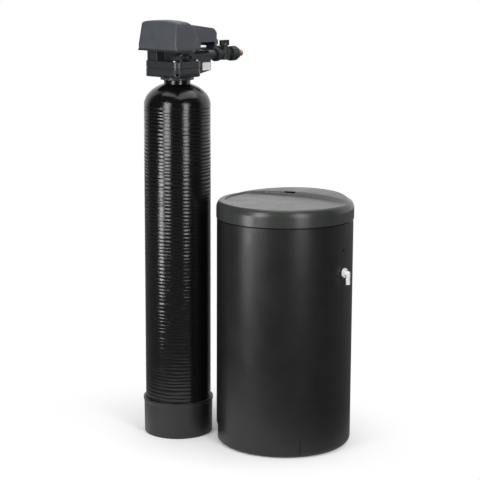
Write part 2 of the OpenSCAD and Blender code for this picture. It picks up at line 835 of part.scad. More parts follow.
module motor_screws() {
    color(steel) for (s = motor_ears) translate([motor_x + s[0], wall_y, motor_z + s[1]])
        rotate([90, 0, 0]) screw(2.8, 1.5, 5);
}

module motor_pinion() {
    color(steel) translate([motor_x, gear_y - gear_t, motor_z]) {
        upright_gear(motor_teeth, 180 + motor_lean + 180 / motor_teeth, 2 - slip);
        translate([0, -2, 0]) along_y() cylinder(r = 2, h = wall_y + wall_t + 7 - gear_y + gear_t + 2);
    }
}

module drive_gear() {
    color(natural) translate([shaft_x, gear_y - gear_t, shaft_z]) difference() {
        union() {
            upright_gear(drive_teeth, motor_lean, shaft_r + slip);
            along_y() ring(shaft_r + 4, shaft_r + slip, gear_t + wall_y - gear_y - seat_gap);
        }
        for (i = [0:5]) rotate([0, 60 * i + 30, 0]) translate([gear_m * drive_teeth * 0.33, -e, 0])
            along_y() cylinder(r = gear_m * 4.5, h = gear_t + 2 * e);
    }
}

module drive_shaft() {
    color(steel) translate([shaft_x, wall_y - 26, shaft_z]) along_y()
        cylinder(r = shaft_r, h = bracket_y + wall_t + 2 - wall_y + 26);
}

module rack_pinion() {
    color(natural) translate([shaft_x, -gear_t / 2, shaft_z])
        upright_gear(rack_teeth, 180, shaft_r + slip);
}

module regen_knob() {
    color(white) translate([shaft_x, wall_y - 30, shaft_z]) along_y() difference() {
        union() {
            cylinder(r = knob_d / 2, h = 12);
            for (i = [0:11]) rotate([0, 0, 30 * i]) translate([knob_d / 2, 0, 0])
                cylinder(r = 1.5, h = 12, $fn = 16);
        }
        translate([0, 0, 4]) cylinder(r = shaft_r + slip, h = 12);
        translate([0, 0, -e]) linear_extrude(2 + e) translate([0, knob_d / 4])
            square([2, knob_d / 2], center = true);
    }
}

module timer_case() {
    color(charcoal) translate([dial_x, wall_y, dial_z]) rotate([90, 0, 0]) difference() {
        linear_extrude(wall_y - case_front) rounded(dial_d + 4, 72, 5);
        translate([0, 0, wall_y - case_front - 14]) cylinder(r = 2.5 + slip, h = 14 + e);
    }
}

module timer_dial() {
    color(white) translate([dial_x, case_front - seat_gap, dial_z]) rotate([90, 0, 0]) {
        difference() {
            cylinder(r = dial_d / 2, h = 6);
            translate([0, 0, 3]) ring(dial_d / 2 - 3, 9, 3 + e);
            for (i = [0:23]) rotate([0, 0, 15 * i]) translate([dial_d / 2, 0, -e])
                cylinder(r = 1.2, h = 6 + 2 * e, $fn = 16);
        }
        translate([0, 0, -13]) cylinder(r = 2.5, h = 14);
    }
}

// Hood: the form of its outside, or of its inside when drawn in by the wall

module hood_front(inset) {
    top = hood_h - inset;
    lean = hood_draft / hood_h;
    rake = atan(lean);
    nose = 9 - inset;
    fore = -hood_fore + inset;
    back = hood_mid - inset;
    side = hood_w / 2 - inset;
    shoulder = 26;
    low = inset > 0 ? -e : 0;
    intersection() {
        rotate([90, 0, 90]) translate([0, 0, -hood_w]) linear_extrude(2 * hood_w) polygon(concat(
            [[fore + low * lean, low]],
            arc([fore + (top - nose) * lean + nose, top - nose], nose, 180 - rake, 92),
            arc([back - 54, top - shoulder], shoulder, 92, 23),
            arc([back + 23, top - 22], 45, 203, 218),
            [[back, top - 65], [back, low]]));
        translate([0, hood_aft, 0]) rotate([90, 0, 0]) linear_extrude(2 * hood_aft) {
            crown = 12 - inset;
            edge = side - (top - crown) * lean - crown;
            polygon(concat([[side - low * lean, low]],
                arc([edge, top - crown], crown, rake, 88), arc([-edge, top - crown], crown, 92, 180 - rake),
                [[-side + low * lean, low]]));
        }
        translate([0, (fore + back) / 2, -2 * e]) linear_extrude(hood_h + 4 * e)
            rounded(2 * side, back - fore, 5.5 - inset);
    }
}

module hood_rear(inset) {
    top = hood_h - 5 - inset;
    lean = hood_draft / hood_h;
    rake = atan(lean);
    aft = hood_aft - inset;
    side = hood_rear_w / 2 - inset;
    start = -50;
    curve = 26 - inset;
    crown = 18 - inset;
    low = inset > 0 ? -e : 0;
    edge = side - (top - crown) * lean - crown;
    intersection() {
        rotate([90, 0, 90]) translate([0, 0, -hood_w]) linear_extrude(2 * hood_w) polygon(concat(
            [[start, low], [start, top]],
            arc([aft - 8 - curve, top - 21 - curve], curve, 82, 15),
            [[aft, 20], [aft, low]]));
        translate([0, hood_aft, 0]) rotate([90, 0, 0]) linear_extrude(2 * hood_aft) polygon(concat(
            [[side - low * lean, low]],
            arc([edge, top - crown], crown, rake, 88), arc([-edge, top - crown], crown, 92, 180 - rake),
            [[-side + low * lean, low]]));
        translate([0, (start + aft) / 2, -2 * e]) linear_extrude(hood_h + 4 * e)
            rounded(2 * side, aft - start, 24 - inset);
    }
}

module hood() {
    color(charcoal) translate([0, 0, hood_z]) {
        difference() {
            union() {
                hood_front(0);
                hood_rear(0);
            }
            hood_front(hood_wall);
            hood_rear(hood_wall);
            translate([-hood_w, hood_mid, -e]) cube([2 * hood_w, hood_aft, 6 + e]);
            translate([-hood_w, hood_mid + 17, -e]) cube([2 * hood_w, 70, notch_h + e]);
        }
        for (x = [cord_gap, -skirt_end]) translate([x, hood_aft - hood_wall, -skirt_drop])
            cube([skirt_end - cord_gap, hood_wall, skirt_drop + 10]);
        for (s = [-1, 1]) translate([s * (hood_w / 2 - hood_wall / 2), latch_y, 0]) intersection() {
            translate([-hood_wall / 2, 0, 0]) along_x() cylinder(r = latch_r, h = hood_wall);
            translate([-hood_w, -latch_r, -latch_r]) cube([2 * hood_w, 2 * latch_r, latch_r + 1]);
        }
    }
}

// Bypass behind the valve

module union_nuts() {
    color(black) pair_x(pipe_x) translate([0, union_wall_y, pipe_z]) along_y() difference() {
        union() {
            cylinder(r = union_r - 1.5, h = 18);
            for (i = [0:23]) rotate([0, 0, 15 * i]) translate([union_r - 2, 0, 1.5])
                cylinder(r = 2, h = 15, $fn = 16);
        }
        translate([0, 0, -e]) cylinder(r = pipe_r + snug, h = 4 + 2 * e);
        translate([0, 0, 4]) cylinder(r = spigot_r + snug, h = 16);
    }
}

module bypass_solid() {
    pair_x(pipe_x) {
        translate([0, bypass_y, pipe_z]) along_y() {
            cylinder(r = spigot_r, h = 12);
            cylinder(r = pipe_r + 1, h = bypass_end - bypass_y);
            translate([0, 0, bypass_end - bypass_y - 12]) cylinder(r = spigot_r, h = 12);
        }
        translate([0, barrel_y, barrel_z]) cylinder(r = barrel_d / 2, h = barrel_h);
    }
    translate([-pipe_x, barrel_y, pipe_z]) along_x() cylinder(r = pipe_bore / 2 + 3, h = pipe_gap);
}

module bypass_body() {
    color(black) difference() {
        bypass_solid();
        pair_x(pipe_x) {
            translate([0, bypass_y - e, pipe_z]) along_y()
                cylinder(r = pipe_bore / 2, h = bypass_end - bypass_y + 2 * e);
            translate([0, barrel_y, rotor_z - seat_gap]) cylinder(r = rotor_r + slip, h = barrel_h);
            translate([0, barrel_y, rotor_top]) cylinder(r = rotor_r + 2 + snug, h = retainer_t + e);
        }
        translate([-pipe_x, barrel_y, pipe_z]) along_x() cylinder(r = pipe_bore / 2 - 2, h = pipe_gap);
    }
}

// Turning plug with a way straight through and a third port to the outer side
module rotor(side) {
    color(natural) translate([side * pipe_x, barrel_y, 0]) difference() {
        union() {
            translate([0, 0, rotor_z]) cylinder(r = rotor_r, h = rotor_top - seat_gap - rotor_z);
            translate([0, 0, rotor_top - e]) cylinder(r = stem_r, h = handle_z + 10 - rotor_top + e);
        }
        translate([0, -rotor_r - e, pipe_z]) along_y() cylinder(r = pipe_bore / 2 - 1, h = rotor_d + 2 * e);
        translate([0, 0, pipe_z]) rotate([0, 0, side > 0 ? 0 : 180]) along_x()
            cylinder(r = pipe_bore / 2 - 2, h = rotor_r + e);
        for (z = groove_zs) translate([0, 0, z]) ring(rotor_r + e, rotor_r - 2, 2.4);
    }
}

module rotor_seals(side) {
    color(rubber) for (z = groove_zs) translate([side * pipe_x, barrel_y, z + 0.2])
        ring(rotor_r, rotor_r - 2 + 0.05, 2);
}

module handle(side) {
    color(black) translate([side * pipe_x, barrel_y, handle_z]) difference() {
        union() {
            cylinder(r = stem_r + 6, h = 6);
            translate([0, 0, 3]) intersection() {
                linear_extrude(handle_h) rounded(handle_w, handle_len, 4);
                translate([-handle_w, 0, 0]) rotate([90, 0, 90]) linear_extrude(2 * handle_w)
                    translate([0, handle_h / 2]) rounded(handle_len, handle_h, 5);
            }
        }
        translate([0, 0, -e]) cylinder(r = stem_r + slip, h = 10 + e + snug);
        for (x = [-1, 1]) translate([x * (handle_w / 2 + 1.2), 0, 12]) rotate([90, 0, 90])
            linear_extrude(3, center = true) rounded(handle_len - 10, handle_h - 9, 3);
    }
}

module inlet_rotor() rotor(1);
module outlet_rotor() rotor(-1);
module inlet_rotor_seals() rotor_seals(1);
module outlet_rotor_seals() rotor_seals(-1);
module inlet_handle() handle(1);
module outlet_handle() handle(-1);

module rotor_retainers() {
    color(black) pair_x(pipe_x) translate([0, barrel_y, rotor_top])
        ring(rotor_r + 2, stem_r + seat_gap, retainer_t);
}

module tube_nuts() {
    straight = nut_len * 2 / 3;
    body_r = tube_nut_r - 1.2;
    color(black) pair_x(pipe_x) translate([0, nut_y, pipe_z]) along_y() difference() {
        union() {
            cylinder(r = body_r, h = straight);
            translate([0, 0, straight]) cylinder(r1 = body_r, r2 = tube_d / 2 + 7, h = nut_len - straight);
            for (i = [0:19]) rotate([0, 0, 18 * i]) translate([tube_nut_r - 2, 0, 2])
                cylinder(r = 2, h = straight - 3, $fn = 20);
        }
        translate([0, 0, -e]) cylinder(r = spigot_r + snug, h = bypass_end - nut_y + seal_gap + 4 + e);
        translate([0, 0, -e]) cylinder(r = tube_d / 2 + snug, h = nut_len + 2 * e);
    }
}

module pipe_seals() {
    color(rubber) pair_x(pipe_x) for (y = [pipe_reach, bypass_end]) translate([0, y, pipe_z]) along_y()
        ring(spigot_r - 1, pipe_bore / 2, seal_gap);
}

module copper_tubes() {
    color(copper) pair_x(pipe_x) translate([0, tube_y, pipe_z]) along_y() difference() {
        union() {
            cylinder(r = tube_d / 2, h = tube_end - tube_y);
            cylinder(r = spigot_r - 1, h = 4);
            translate([0, 0, nut_end - tube_y]) cylinder(r = tube_d / 2 + 0.8, h = bead_t);
        }
        translate([0, 0, -e]) cylinder(r = tube_d / 2 - tube_wall, h = tube_end - tube_y + 2 * e);
    }
}

// Brine tank

module brine_tank() {
    step_z = brine_h - lid_skirt - 6;
    color(black) difference() {
        at_brine() difference() {
            rotate_extrude($fn = 96) polygon(concat(
                [[0, 0], [brine_r - foot_r, 0]],
                arc([brine_r - foot_r, foot_r], foot_r, -90, 0, 8),
                [[brine_r, step_z - 2], [rim_r, step_z + 1], [rim_r, brine_h], [rim_r - brine_wall, brine_h],
                    [rim_r - brine_wall, step_z], [brine_in, step_z - 8], [brine_in, band_h + 12],
                    [brine_in - band_depth, band_h + 6]],
                arc([brine_in - band_depth - foot_in_r, foot_in_r + brine_floor], foot_in_r, 0, -90, 6),
                [[0, brine_floor]]));
            rotate([0, 0, band_end - 180]) rotate_extrude(angle = 180, $fn = 96)
                translate([brine_r - band_depth, -e]) square([band_depth + e, band_h + e]);
        }
        at_port(line_z) along_x() cylinder(r = line_d / 2, h = brine_r + e);
        at_port(over_z) along_x() cylinder(r = elbow_r + 0.5 + snug, h = brine_r + e);
    }
}

// Lid: the full round form, its raised rear falling towards the front
module lid_round(inset) {
    flat_r = lid_r - lid_shoulder;
    rim = lid_rim_z - inset;
    difference() {
        rotate_extrude($fn = 96) polygon(concat(
            [[0, lid_z - 20], [lid_r - inset, lid_z - 20]],
            arc([flat_r, lid_rim_z - lid_shoulder], lid_shoulder - inset, 0, 90, 6),
            [[flat_r - inset - lid_step * 0.7, rim + lid_step], [0, rim + lid_step]]));
        intersection() {
            translate([0, lid_fall_y, rim]) rotate([lid_fall, 0, 0])
                translate([-lid_r, -2 * lid_r, 0]) cube([2 * lid_r, 4 * lid_r, lid_r]);
            translate([-lid_r, -lid_r, rim]) cube([2 * lid_r, 2 * lid_r, lid_r]);
        }
    }
}

module lid_front(inset, floor_z) {
    reach = lid_step_r + inset;
    rise = lid_step + 10;
    translate([lid_step_x, lid_step_back - lid_step_r, floor_z])
        cylinder(r1 = reach, r2 = reach + rise, h = rise, $fn = 180);
}

module brine_lid() {
    panel_r = lid_r - lid_shoulder - lid_rim;
    color(black) at_brine() difference() {
        union() {
            lid_round(0);
            translate([0, 0, brine_h - lid_skirt - 3]) cylinder(r = lid_r, h = lid_skirt - 12, $fn = 96);
        }
        lid_front(0, lid_rim_z);
        intersection() {
            lid_front(0, lid_panel_z);
            cylinder(r = panel_r, h = 2 * brine_h);
        }
        translate([0, 0, -e]) cylinder(r = lid_in, h = lid_z + e, $fn = 96);
        intersection() {
            lid_round(lid_wall);
            translate([0, 0, lid_z - e]) cylinder(r = lid_in - 8, h = lid_panel_z - lid_wall - lid_z + e);
        }
        difference() {
            lid_round(lid_wall);
            lid_front(lid_wall, lid_panel_z - lid_wall);
            cylinder(r = lid_r, h = lid_z - e);
            difference() {
                cylinder(r = 2 * lid_r, h = 2 * brine_h);
                translate([0, 0, -e]) cylinder(r = lid_in - 8, h = 2 * brine_h + 2 * e);
            }
        }
        translate([lid_step_x, lid_step_back - lid_step_r, lid_panel_z + 6]) rotate([0, 0, 16])
            translate([0, lid_step_r + 12]) linear_extrude(lid_step) rounded(44, 14, 6.9);
    }
}

module salt_grid() {
    r = brine_in - 1;
    color(natural) at_brine() difference() {
        translate([0, 0, grid_top - grid_t]) cylinder(r = r, h = grid_t);
        rotate([0, 0, port_bearing]) translate([well_at, 0, 0]) cylinder(r = well_r + 0.5, h = grid_top + e);
        for (k = [0:floor((r - 14) / grid_pitch)]) let (n = max(1, round(2 * PI * k))) for (i = [0:n - 1])
            let (p = polar(k * grid_pitch, 360 / n * i), w = polar(well_at, port_bearing))
                if (norm(p - w) > well_r + grid_hole) translate([p[0], p[1], grid_top - grid_t - e])
                    cylinder(r = grid_hole / 2, h = grid_t + 2 * e, $fn = 24);
    }
}

module grid_legs() {
    color(natural) at_brine() for (a = [70, 160, 250, 320]) rotate([0, 0, a])
        translate([brine_r * 0.62, 0, brine_floor]) ring(20, 17, grid_top - grid_t - brine_floor - snug);
}

module brine_well() {
    color(black) difference() {
        at_port(brine_floor) translate([well_at, 0, 0]) difference() {
            ring(well_r, well_r - well_wall, well_top - brine_floor);
            for (i = [0:5]) rotate([0, 0, 30 * i]) translate([-well_d, -2, 8]) cube([2 * well_d, 4, 60]);
        }
        at_port(line_z) translate([well_at, 0, 0]) along_x() cylinder(r = line_d / 2 + 2, h = well_d);
        at_port(over_z) translate([well_at, 0, 0]) along_x() cylinder(r = elbow_r + 0.5 + snug, h = well_d);
    }
}

module well_cap() {
    color(black) at_port(well_top) translate([well_at, 0, 0]) {
        cylinder(r = well_r + 2, h = 3);
        translate([0, 0, -10]) ring(well_r - well_wall - snug, well_r - well_wall - 2.5, 10.5);
    }
}

// Air check, pick-up tube and shut-off valve: one glued riser inside the brine well
module brine_pickup() {
    r = pickup_d / 2;
    color(white) at_port(0) translate([tube_at, 0, 0]) difference() {
        union() {
            translate([0, 0, brine_floor]) cylinder(r = 14, h = check_h);
            translate([0, 0, brine_floor + check_h - e])
                cylinder(r = r, h = valve_cage_z - brine_floor - check_h + 2 * e);
            translate([0, 0, valve_cage_z]) cylinder(r = 15, h = valve_cage_h);
            translate([0, 0, line_z]) along_x() cylinder(r = 8, h = 26);
            translate([rod_at - tube_at, -7, ear_z]) cube([tube_at - rod_at, 14, ear_t]);
            translate([rod_at - tube_at, 0, ear_z]) cylinder(r = 7, h = ear_t);
        }
        translate([0, 0, ball_z]) cylinder(r = ball_r + 2, h = 26);
        for (a = [0, 90]) rotate([0, 0, a]) translate([-20, -3, ball_z + 2]) cube([40, 6, 20]);
        translate([0, 0, ball_z + 24]) cylinder(r = r - 1.5, h = valve_cage_z - ball_z);
        translate([0, 0, line_z]) along_x() cylinder(r = 4.8, h = 30);
        translate([0, 0, valve_cage_z - e]) cylinder(r = 4.8, h = line_z - valve_cage_z);
        translate([rod_at - tube_at, 0, ear_z - e]) cylinder(r = float_rod_r + slip, h = ear_t + 2 * e);
    }
}

module check_ball() {
    color("#c0392b") at_port(ball_z + ball_r + snug) translate([tube_at, 0, 0]) sphere(r = ball_r);
}

module float() {
    color(white) at_port(float_z) translate([rod_at, 0, 0]) difference() {
        union() {
            cylinder(r = float_d / 2, h = float_len);
            cylinder(r = 6, h = float_len + 4);
        }
        translate([0, 0, -e]) cylinder(r = float_rod_r + slip, h = float_len + 6);
    }
}

// Rod of the float, with a clip on each side of the float and a stop above the ear
module float_rod() {
    color(steel) at_port(0) translate([rod_at, 0, 0]) {
        translate([0, 0, float_z - 20]) cylinder(r = float_rod_r, h = ear_z + ear_t + 30 - float_z + 20);
        for (z = [float_z - clip_t, float_z + float_len + 4, ear_z - clip_t - float_travel - 1,
            ear_z + ear_t + seat_gap]) translate([0, 0, z]) cylinder(r = 6, h = clip_t);
    }
}

module overflow_elbow() {
    bend = brine_r + elbow_out;
    color(white) at_port(over_z) difference() {
        union() {
            translate([well_at + well_r - 18, 0, 0]) along_x()
                cylinder(r = elbow_r + 0.5, h = brine_r + gasket_t - well_at - well_r + 18 + e);
            translate([brine_r + gasket_t, 0, 0]) along_x() cylinder(r = flange_d / 2, h = flange_t);
            translate([brine_r + gasket_t, 0, 0]) along_x() cylinder(r = elbow_r, h = elbow_out - gasket_t);
            translate([bend, 0, 0]) sphere(r = elbow_r);
            translate([bend, 0, -elbow_leg]) cylinder(r = elbow_r, h = elbow_leg);
            translate([bend, 0, -elbow_r - 2 - bead_t]) cylinder(r = elbow_r + 0.8, h = bead_t);
        }
        translate([well_at + well_r - 18 - e, 0, 0]) along_x()
            cylinder(r = elbow_r - 2, h = bend - well_at - well_r + 18 + e);
        translate([bend, 0, 0]) sphere(r = elbow_r - 2);
        translate([bend, 0, -elbow_leg - e]) cylinder(r = elbow_r - 2, h = elbow_leg + e);
    }
}

module overflow_nut() {
    nut_r = 14;
    face = well_at + sqrt(pow(well_r - well_wall, 2) - pow(nut_r, 2)) - snug;
    color(white) at_port(over_z) translate([face - 9, 0, 0]) along_x() ring(nut_r, elbow_r + 0.5 + snug, 9);
}

module overflow_gasket() {
    color(rubber) at_port(over_z) translate([brine_r, 0, 0]) along_x()
        ring(flange_d / 2 - 2, elbow_r + 0.5 + snug, gasket_t);
}

tank_boot();
mineral_tank();
gravel_bed();
resin_bed();
riser_tube();
bottom_distributor();
top_distributor();
neck_collar();
neck_seal();
riser_seal();
valve_body();
body_screws();
seal_rings();
seal_spacers();
end_plug();
piston();
piston_rod();
injector_cap();
injector_screws();
injector_throat();
injector_screen();
brine_line_fitting();
drain_fitting();
drive_chassis();
chassis_screws();
drive_motor();
motor_screws();
motor_pinion();
drive_gear();
drive_shaft();
rack_pinion();
regen_knob();
timer_case();
timer_dial();
hood();
union_nuts();
bypass_body();
inlet_rotor();
inlet_rotor_seals();
inlet_handle();
outlet_rotor();
outlet_rotor_seals();
outlet_handle();
rotor_retainers();
tube_nuts();
pipe_seals();
copper_tubes();
brine_tank();
brine_lid();
salt_grid();
grid_legs();
brine_well();
well_cap();
brine_pickup();
check_ball();
float();
float_rod();
overflow_elbow();
overflow_nut();
overflow_gasket();
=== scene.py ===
import math

import bmesh
import bpy
from mathutils import Euler, Matrix, Vector, noise


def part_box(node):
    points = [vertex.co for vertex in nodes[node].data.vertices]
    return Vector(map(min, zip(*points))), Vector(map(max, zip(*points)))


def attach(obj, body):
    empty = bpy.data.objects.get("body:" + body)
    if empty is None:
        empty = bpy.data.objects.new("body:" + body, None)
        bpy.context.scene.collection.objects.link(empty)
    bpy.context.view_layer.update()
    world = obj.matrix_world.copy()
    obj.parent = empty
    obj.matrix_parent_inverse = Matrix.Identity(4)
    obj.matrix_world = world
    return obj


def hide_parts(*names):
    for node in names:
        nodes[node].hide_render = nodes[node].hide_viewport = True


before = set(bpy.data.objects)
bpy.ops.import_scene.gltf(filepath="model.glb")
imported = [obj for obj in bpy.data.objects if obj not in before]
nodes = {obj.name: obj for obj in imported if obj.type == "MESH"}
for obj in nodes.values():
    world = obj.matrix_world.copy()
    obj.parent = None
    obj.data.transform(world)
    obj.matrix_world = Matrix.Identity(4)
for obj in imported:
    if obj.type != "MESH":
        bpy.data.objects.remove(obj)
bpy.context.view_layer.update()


# Boot: the moulded foot that the round-bottomed tank stands in.
# Black ABS, injection moulded, with a fine spark-eroded grain that dulls it to a satin.
# The tank is bonded into it.
MM = 0.001


def linear(colour):
    """Linear RGBA from an sRGB hex value."""
    parts = [int(colour[i:i + 2], 16) / 255 for i in (1, 3, 5)]
    return [c / 12.92 if c <= 0.04045 else ((c + 0.055) / 1.055) ** 2.4 for c in parts] + [1]


def add(tree, kind, links=(), **settings):
    """Adds a node. Settings are its properties or, where it has none of that name, its inputs."""
    node = tree.nodes.new("ShaderNode" + kind)
    for key, value in settings.items():
        if hasattr(node, key):
            setattr(node, key, value)
        else:
            node.inputs[key.replace("_", " ")].default_value = value
    for socket, source in dict(links).items():
        tree.links.new(source, node.inputs[socket])
    return node


def finish_named(name, colour, roughness, metallic=0):
    """A new material: itself, its node tree, its Principled shader and the Object coordinates."""
    material = bpy.data.materials.new(name)
    material.use_nodes = True
    tree = material.node_tree
    shader = tree.nodes["Principled BSDF"]
    shader.inputs["Base Color"].default_value = linear(colour)
    shader.inputs["Roughness"].default_value = roughness
    shader.inputs["Metallic"].default_value = metallic
    return material, tree, shader, add(tree, "TexCoord").outputs["Object"]


def emboss(tree, shader, source, strength, depth, edge=0, invert=False):
    """Raises a texture from the surface. With an edge, corners are shaded as rounded to that radius."""
    links = {"Height": source}
    if edge:
        links["Normal"] = add(tree, "Bevel", samples=8, Radius=edge).outputs["Normal"]
    bump = add(tree, "Bump", links, Strength=strength, Distance=depth, invert=invert)
    tree.links.new(bump.outputs["Normal"], shader.inputs["Normal"])


def dull(tree, shader, source, least, most, start=0, end=1):
    """Runs the roughness from least to most while a texture runs from start to end."""
    spread = add(tree, "MapRange", {"Value": source},
                 From_Min=start, From_Max=end, To_Min=least, To_Max=most)
    tree.links.new(spread.outputs["Result"], shader.inputs["Roughness"])


def dress(material, *names):
    """Puts the material on these CAD nodes."""
    for name in names:
        nodes[name].data.materials.clear()
        nodes[name].data.materials.append(material)


boot_abs, tree, shader, place = finish_named("Boot ABS, spark-eroded", "#1f1f21", 0.42)
grain = add(tree, "TexNoise", {"Vector": place}, Scale=1 / (1.6 * MM), Detail=3)
emboss(tree, shader, grain.outputs["Fac"], strength=0.12, depth=0.3 * MM)
scuff = add(tree, "TexNoise", {"Vector": place}, Scale=1 / (45 * MM), Detail=5, Roughness=0.65)
dull(tree, shader, scuff.outputs["Fac"], least=0.36, most=0.5, start=0.35, end=0.7)
dress(boot_abs, "tank_boot")


# Mineral tank: a plastic liner wound with glass fibre in black epoxy, helical over the domes
# and in hoops along the wall. Each laid band leaves a rounded ridge under the gloss resin.
tank_r, neck_r, neck_bore_r, wall = 115.5 * MM, 46 * MM, 32 * MM, 4.5 * MM
tank_foot, tank_dome, dome_foot = 6.1 * MM, 80 * MM, 1162.6 * MM
neck_foot, neck_top, neck_edge, neck_depth = 1236 * MM, 1250 * MM, 1.5 * MM, 14 * MM
hoop_foot, hoop_top, hoop_fade = 122 * MM, 1153 * MM, 14 * MM
band, ridge, row = 12.4 * MM, 0.8 * MM, 2.05 * MM
strands, strand_rise, strand_lean = 46, 62 * MM, 0.16
liner_r, liner_rise, neck_root = 60 * MM, 15 * MM, 6 * MM
drift_pitch, drift_at, rough_width, rough_pitch = 60 * MM, 3.1, 40 * MM, 18 * MM
drift_share, rough_share, hoop_level, hoop_swing = 0.5, 0.12, 0.62, 0.5
helix_level, helix_swing, helix_sway = 0.8, 0.4, 2
foot_steps, dome_steps, skin_steps = 8, 48, 120

skin = bmesh.new()
side = []
for k in range(foot_steps + 1):
    a = math.radians(90 * k / foot_steps)
    side.append((tank_r * math.sin(a), tank_foot + tank_dome * (1 - math.cos(a))))
straight = dome_foot - tank_foot - tank_dome
rows = round(straight / row)
side += [(tank_r, tank_foot + tank_dome + straight * k / rows) for k in range(1, rows)]
for k in range(dome_steps + 1):
    a = math.acos(neck_r / tank_r) * k / dome_steps
    side.append((tank_r * math.cos(a), dome_foot + tank_dome * math.sin(a)))
side += [(neck_r, neck_foot + neck_root), (neck_r, neck_top - neck_edge), (neck_r - neck_edge, neck_top)]
side += [(neck_bore_r, neck_top), (neck_bore_r, neck_top - neck_depth), (tank_r - wall, dome_foot)]
side += [(tank_r - wall, tank_foot + tank_dome), (liner_r, tank_foot + liner_rise), (0, tank_foot + wall)]
points = [skin.verts.new((x, 0, z)) for x, z in side]
edges = [skin.edges.new(pair) for pair in zip(points, points[1:])]
bmesh.ops.spin(skin, geom=points + edges, cent=(0, 0, 0), axis=(0, 0, 1), angle=2 * math.pi,
               steps=skin_steps, use_merge=True)
bmesh.ops.remove_doubles(skin, verts=skin.verts, dist=0.01 * MM)
bmesh.ops.recalc_face_normals(skin, faces=skin.faces)
skin.normal_update()
moves = {}
for v in skin.verts:
    turn = math.atan2(v.co.y, v.co.x) / (2 * math.pi)
    outward = v.normal.x * v.co.x + v.normal.y * v.co.y > 0
    if not outward or v.co.z < hoop_foot or v.co.z > neck_foot:
        continue
    drift = noise.noise(Vector((0, drift_at, v.co.z / drift_pitch)))
    rough = noise.noise(Vector((v.co.x / rough_width, v.co.y / rough_width, v.co.z / rough_pitch)))
    lap = v.co.z / band + turn + drift_share * drift + rough_share * rough
    hoop = abs(math.sin(math.pi * lap)) * (hoop_level + hoop_swing * rough)
    climb = strand_lean * (v.co.z - dome_foot) / strand_rise
    sway = helix_sway * rough
    cross = [abs(math.sin(math.pi * strands * (turn + way * climb) + sway)) for way in (-1, 1)]
    helix = max(cross) * (helix_level + helix_swing * rough)
    blend = min(1, max(0, (v.co.z - hoop_top) / hoop_fade))
    lie = hoop * (1 - blend) + helix * blend
    moves[v] = v.normal * ridge * (min(lie, 1) - 1)
for v, step in moves.items():
    v.co += step


def piece(name, shape, material, body, slot, *stands_for, crease=40, even=False):
    """A finished piece from a bmesh: smooth but for edges sharper than crease, riding on its body.

    Even weights its normals by the size of the faces, so that flat faces stay flat.
    """
    mesh = bpy.data.meshes.new(name)
    shape.to_mesh(mesh)
    shape.free()
    mesh.shade_smooth()
    mesh.set_sharp_from_angle(angle=math.radians(crease))
    mesh.materials.append(material)
    thing = bpy.data.objects.new(name, mesh)
    bpy.context.scene.collection.objects.link(thing)
    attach(thing, body)
    if stands_for:
        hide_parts(*stands_for)
    if even:
        weighted = thing.modifiers.new("Weighted", "WEIGHTED_NORMAL")
        weighted.keep_sharp = True


def tint(tree, shader, source, low, high):
    """Runs the base colour from low to high along a texture."""
    tone = add(tree, "ValToRGB", {"Fac": source})
    tone.color_ramp.elements[0].color = linear(low)
    tone.color_ramp.elements[1].color = linear(high)
    tree.links.new(tone.outputs["Color"], shader.inputs["Base Color"])


def stretched(tree, place, x, y, z):
    """Coordinates that count in steps of x, y and z."""
    return add(tree, "Mapping", {"Vector": place}, Scale=(1 / x, 1 / y, 1 / z)).outputs["Vector"]


wound, tree, shader, place = finish_named("Wound glass fibre in black epoxy", "#0a0a0b", 0.13)
shader.inputs["IOR"].default_value = 1.52
strand = stretched(tree, place, 30 * MM, 30 * MM, 2.4 * MM)
fibre = add(tree, "TexNoise", {"Vector": strand}, Scale=1, Detail=4, Roughness=0.6)
tint(tree, shader, fibre.outputs["Fac"], low="#050506", high="#141415")
dull(tree, shader, fibre.outputs["Fac"], least=0.07, most=0.22, start=0.3, end=0.7)
runs = add(tree, "TexNoise", {"Vector": place}, Scale=1 / (9 * MM), Detail=4, Roughness=0.65,
           Distortion=0.6)
lay = add(tree, "Math", {0: fibre.outputs["Fac"], 1: runs.outputs["Fac"]}, operation="ADD")
emboss(tree, shader, lay.outputs["Value"], strength=0.4, depth=0.6 * MM)
piece("tank_skin", skin, wound, "softener", "wound_fibre", "mineral_tank")


# Media: washed quartz gravel under a bed of amber ion-exchange beads.
# The real beads are 0.6 mm and the stones 4 mm; the beads are drawn at 2.5 mm so that they show.
gravel, tree, shader, place = finish_named("Quartz gravel", "#9a8c76", 0.7)
stones = add(tree, "TexVoronoi", {"Vector": place}, Scale=1 / (4 * MM))
# Each stone is tinted light in its middle and dark at its edges: painted shade in the gaps between the
# stones.
tint(tree, shader, stones.outputs["Distance"], low="#b9ab92", high="#5f5546")
emboss(tree, shader, stones.outputs["Distance"], strength=0.8, depth=1 * MM, invert=True)
dress(gravel, "gravel_bed")

beads, tree, shader, place = finish_named("Ion-exchange resin beads", "#a8641f", 0.35)
spheres = add(tree, "TexVoronoi", {"Vector": place}, Scale=1 / (2.5 * MM))
# Each bead is tinted light in its middle and dark at its rim: painted shading of the round beads and
# painted shade between them.
tint(tree, shader, spheres.outputs["Distance"], low="#c98436", high="#6d3a10")
emboss(tree, shader, spheres.outputs["Distance"], strength=0.8, depth=0.6 * MM, invert=True)
dress(beads, "resin_bed")


# Natural plastic: the riser, the baskets, the gears, spacers, rotors and the salt grid.
# Uncoloured polypropylene and acetal, moulded, milky with faint flow marks.
natural, tree, shader, place = finish_named("Natural polypropylene", "#d9d3bf", 0.4)
shader.inputs["Subsurface Weight"].default_value = 0.15
shader.inputs["Subsurface Scale"].default_value = 1.5 * MM
flow = add(tree, "TexNoise", {"Vector": place}, Scale=1 / (12 * MM), Detail=4, Distortion=1.2)
tint(tree, shader, flow.outputs["Fac"], low="#cfc8b2", high="#e2dccb")
dress(natural, "riser_tube", "bottom_distributor", "top_distributor", "seal_spacers", "end_plug",
      "drive_gear", "rack_pinion", "inlet_rotor", "outlet_rotor", "salt_grid", "grid_legs")


